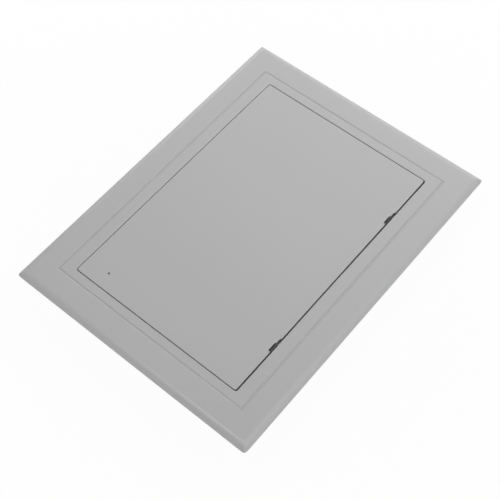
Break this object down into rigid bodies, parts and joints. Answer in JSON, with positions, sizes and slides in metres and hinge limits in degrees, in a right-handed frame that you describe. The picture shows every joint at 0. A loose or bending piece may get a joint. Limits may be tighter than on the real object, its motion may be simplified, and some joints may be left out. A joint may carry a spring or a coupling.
{
  "type": "ceiling access panel",
  "caption": "Rectangular moulded access panel: a flanged frame with a rear collar and a flush hinged door, held shut by sprung catches, for covering a service opening in a ceiling or wall.",
  "frame": {"origin": "middle of the collar's rear end", "axes": "+X towards the hinge side, +Y along the hinge side, +Z out of the front face"},
  "size_m": [0.168, 0.2172, 0.0255],
  "materials": {
    "moulding": "satin",
    "steel": "satin",
    "acetal": "satin",
    "brass": "satin"
  },
  "bodies": {
    "frame": {"frame": "moulding", "hinge_clip_upper": "acetal", "hinge_clip_lower": "acetal", "strike_plate_upper": "steel", "strike_plate_lower": "steel", "strike_plate_screws": "steel"},
    "door": {"door": "moulding", "hinge_pin_upper": "steel", "hinge_pin_lower": "steel", "catch_barrel_upper": "acetal", "catch_barrel_lower": "acetal", "catch_spring_upper": "steel", "catch_spring_lower": "steel", "catch_plug_upper": "acetal", "catch_plug_lower": "acetal"},
    "bolt_upper": {"catch_bolt_upper": "brass"},
    "bolt_lower": {"catch_bolt_lower": "brass"}
  },
  "joints": [
    {"name": "door_hinge", "type": "hinge", "parent": "frame", "child": "door", "pos_m": [0.0578, 0, 0.02445], "axis": [0, 1, 0], "range_deg": [0, 94]},
    {"name": "bolt_upper_slide", "type": "slide", "parent": "door", "child": "bolt_upper", "axis": [1, 0, 0], "range_m": [0, 0.0021], "stiffness_N_per_m": 600, "springref_m": -0.003, "deforming": ["catch_spring_upper"]},
    {"name": "bolt_lower_slide", "type": "slide", "parent": "door", "child": "bolt_lower", "axis": [1, 0, 0], "range_m": [0, 0.0021], "stiffness_N_per_m": 600, "springref_m": -0.003, "deforming": ["catch_spring_lower"]}
  ]
}
